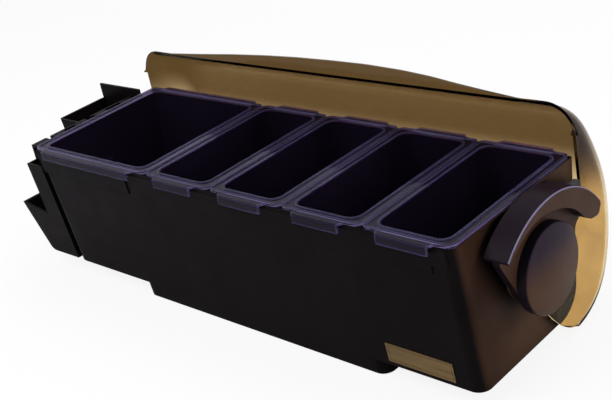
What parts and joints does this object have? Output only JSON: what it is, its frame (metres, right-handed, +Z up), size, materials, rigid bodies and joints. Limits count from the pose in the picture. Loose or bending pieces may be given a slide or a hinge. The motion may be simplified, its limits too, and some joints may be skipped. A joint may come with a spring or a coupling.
{
  "type": "garnish tray",
  "caption": "Long bar-top garnish tray with lift-out clear inserts, a smoked roll-back lid, a handle arch at one end and straw and pick pockets at the other.",
  "frame": {"origin": "on the counter, under the middle of the tub's length and depth", "axes": "+X runs along the tray towards the handle arch, +Y towards the back where the lid hangs when open, +Z up"},
  "size_m": [0.5868, 0.2116, 0.1936],
  "materials": {
    "black_plastic": "moulded, semi-gloss",
    "cap_plastic": "satin",
    "rubber": "matt",
    "label_foil": "brushed foil",
    "bush_plastic": "satin",
    "screw_steel": "brushed",
    "smoked_plastic": "clear, smoked amber",
    "clear_plastic": "clear"
  },
  "bodies": {
    "base": {"tub": "black_plastic", "rubber_pad": "rubber", "label_plate": "label_foil", "handle_bracket": "black_plastic", "caddy_bar_bracket": "black_plastic", "hub_cap_right": "cap_plastic", "hub_cap_left": "cap_plastic", "lid_bumper": "rubber", "pivot_bushes": "bush_plastic", "thrust_washers": "bush_plastic", "bracket_screws": "screw_steel"},
    "lid": {"dome_lid": "smoked_plastic", "dome_end_right": "smoked_plastic", "dome_end_left": "smoked_plastic"},
    "double_insert": {"insert_double": "clear_plastic"},
    "single_insert_1": {"insert_single_1": "clear_plastic"},
    "single_insert_2": {"insert_single_2": "clear_plastic"},
    "single_insert_3": {"insert_single_3": "clear_plastic"},
    "single_insert_4": {"insert_single_4": "clear_plastic"},
    "straw_caddy": {"caddy_straws": "black_plastic"},
    "sip_caddy": {"caddy_sip_straws": "black_plastic"},
    "pick_caddy": {"caddy_picks": "black_plastic"}
  },
  "joints": [
    {"name": "lid_hinge", "type": "hinge", "parent": "base", "child": "lid", "pos_m": [0, 0, 0.091], "axis": [-1, 0, 0], "range_deg": [-98, 0]},
    {"name": "double_insert_lift", "type": "slide", "parent": "base", "child": "double_insert", "axis": [0, 0, 1], "range_m": [0, 0.03]},
    {"name": "single_insert_1_lift", "type": "slide", "parent": "base", "child": "single_insert_1", "axis": [0, 0, 1], "range_m": [0, 0.03]},
    {"name": "single_insert_2_lift", "type": "slide", "parent": "base", "child": "single_insert_2", "axis": [0, 0, 1], "range_m": [0, 0.03]},
    {"name": "single_insert_3_lift", "type": "slide", "parent": "base", "child": "single_insert_3", "axis": [0, 0, 1], "range_m": [0, 0.03]},
    {"name": "single_insert_4_lift", "type": "slide", "parent": "base", "child": "single_insert_4", "axis": [0, 0, 1], "range_m": [0, 0.03]},
    {"name": "straw_caddy_lift", "type": "slide", "parent": "base", "child": "straw_caddy", "axis": [0, 0, 1], "range_m": [0, 0.03]},
    {"name": "sip_caddy_lift", "type": "slide", "parent": "base", "child": "sip_caddy", "axis": [0, 0, 1], "range_m": [0, 0.03]},
    {"name": "pick_caddy_lift", "type": "slide", "parent": "base", "child": "pick_caddy", "axis": [0, 0, 1], "range_m": [0, 0.03]}
  ]
}
